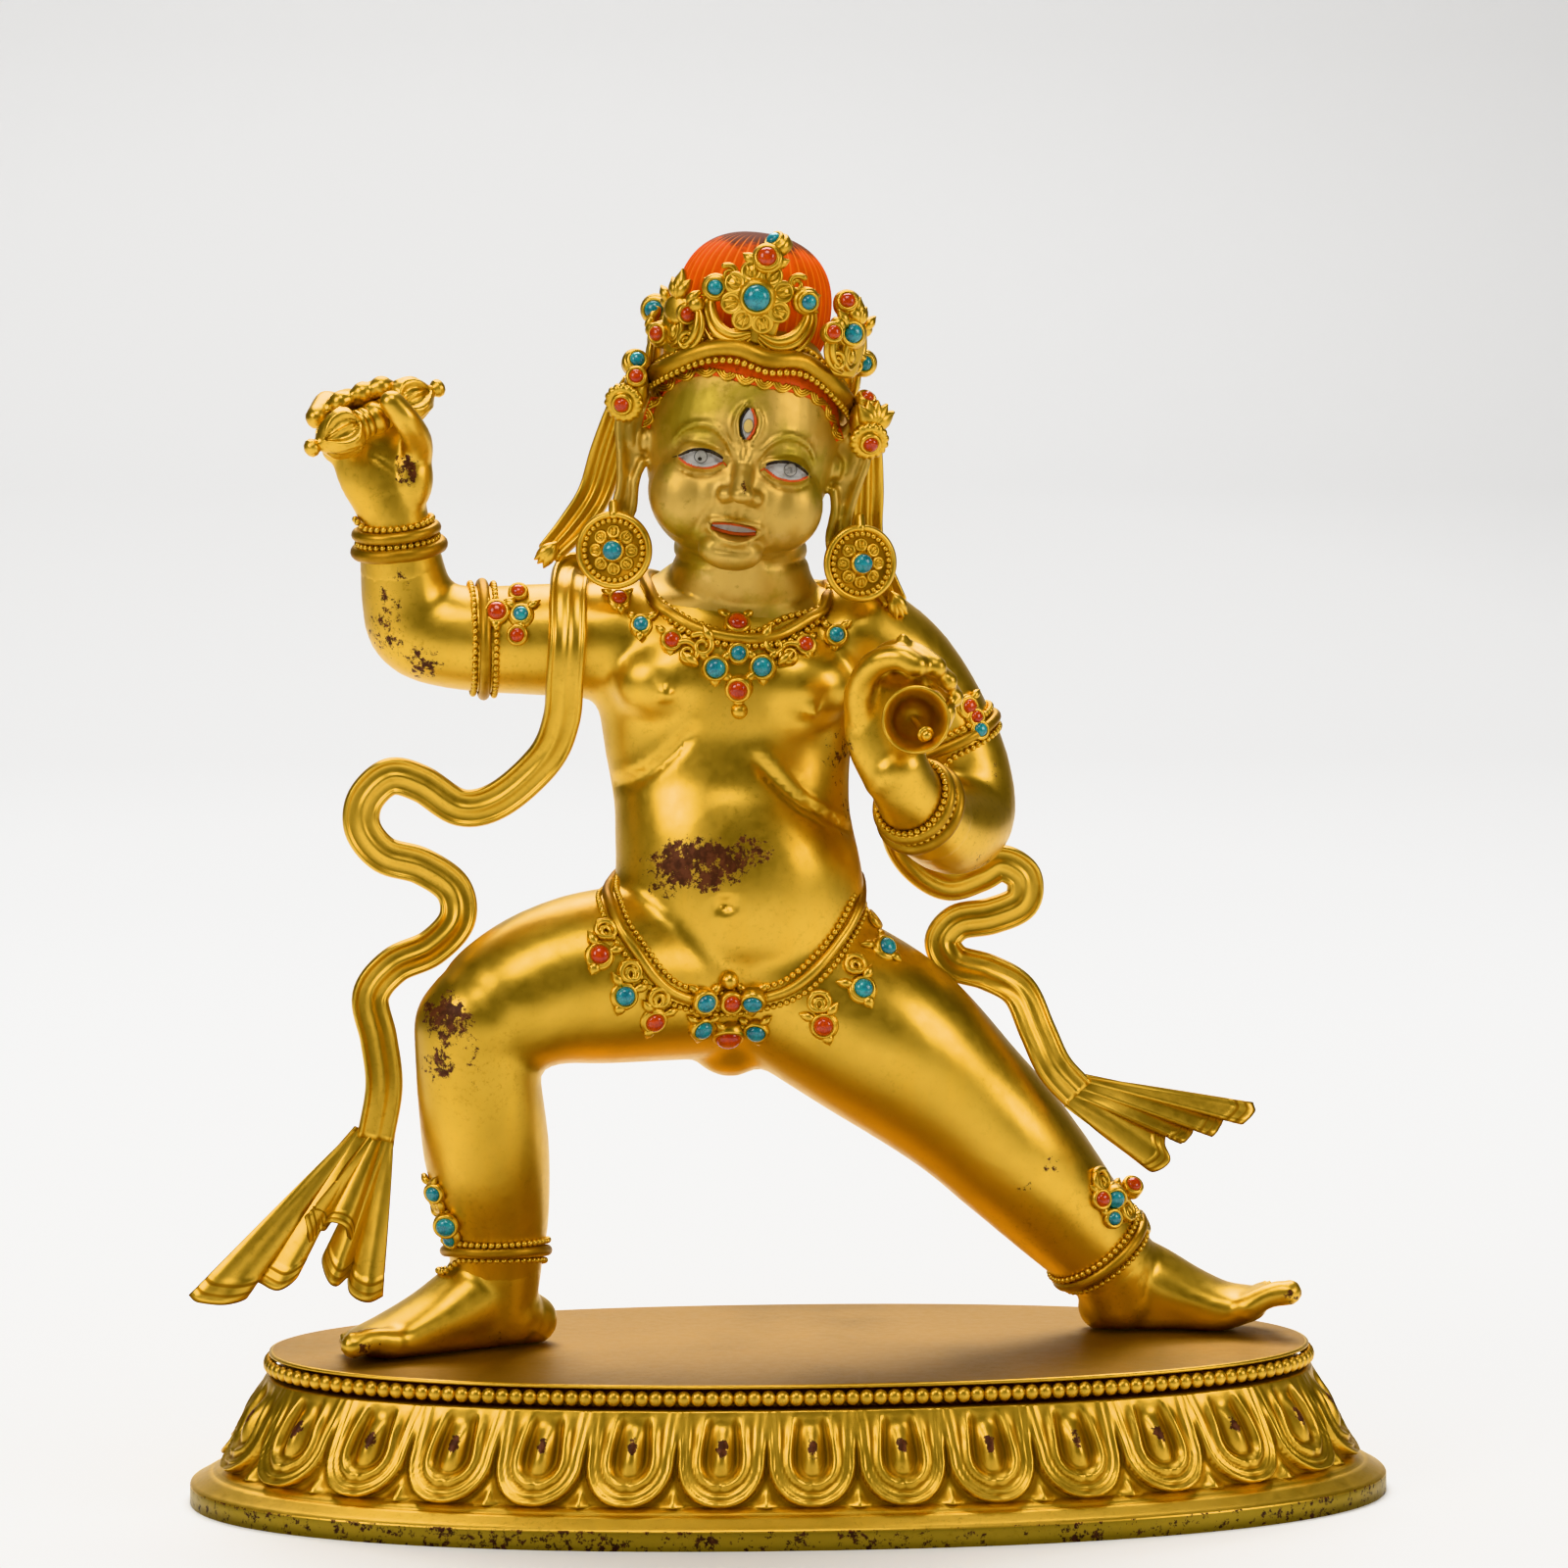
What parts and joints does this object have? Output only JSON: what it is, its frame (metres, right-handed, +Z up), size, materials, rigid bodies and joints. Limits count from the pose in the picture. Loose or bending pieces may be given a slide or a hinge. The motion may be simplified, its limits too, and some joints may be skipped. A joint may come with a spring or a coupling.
{
  "type": "gilt bronze deity statue",
  "caption": "Wide-striding three-eyed deity in gilt bronze with leaf crown, thunderbolt sceptre, bell and long scarves, on an oval lotus base; set with turquoise and coral.",
  "frame": {"origin": "middle of the base's underside", "axes": "+Z up, the figure faces -Y, its raised sceptre hand is on the -X side"},
  "size_m": [0.2472, 0.1182, 0.2608],
  "materials": {
    "gilt_bronze": "fire-gilt bronze, burnished, worn to dark bronze in places",
    "gilt_base": "fire-gilt bronze, duller gilding on the base",
    "turquoise": "polished turquoise cabochon",
    "coral": "polished red coral cabochon"
  },
  "bodies": {
    "root": {"bell": "gilt_bronze", "bell_clapper": "gilt_bronze", "crown": "gilt_bronze", "earring_left": "gilt_bronze", "earring_right": "gilt_bronze", "figure": "gilt_bronze", "lotus_base": "gilt_base", "scarf_left": "gilt_bronze", "scarf_right": "gilt_bronze", "sceptre": "gilt_bronze", "stone_armlet_left_1": "coral", "stone_armlet_right_1": "coral", "stone_armlet_right_2": "turquoise", "stone_belt_1": "coral", "stone_belt_10": "turquoise", "stone_belt_11": "turquoise", "stone_belt_2": "turquoise", "stone_belt_3": "coral", "stone_belt_4": "turquoise", "stone_belt_5": "turquoise", "stone_belt_6": "turquoise", "stone_belt_7": "coral", "stone_belt_8": "turquoise", "stone_belt_9": "coral", "stone_crown_1": "turquoise", "stone_crown_10": "turquoise", "stone_crown_11": "turquoise", "stone_crown_2": "coral", "stone_crown_3": "turquoise", "stone_crown_4": "turquoise", "stone_crown_5": "turquoise", "stone_crown_6": "turquoise", "stone_crown_7": "coral", "stone_crown_8": "turquoise", "stone_crown_9": "coral", "stone_earring_left": "turquoise", "stone_earring_right": "turquoise", "stone_necklace_1": "coral", "stone_necklace_2": "turquoise", "stone_necklace_3": "coral", "stone_necklace_4": "coral", "stone_necklace_5": "turquoise", "stone_necklace_6": "coral", "stone_necklace_7": "turquoise", "stone_necklace_8": "coral", "stone_necklace_9": "turquoise", "stone_rosette_1": "coral", "stone_rosette_2": "coral", "stone_shin_left_1": "turquoise", "stone_shin_left_2": "coral", "stone_shin_right_1": "turquoise", "stone_shin_right_2": "turquoise"}
  },
  "joints": []
}
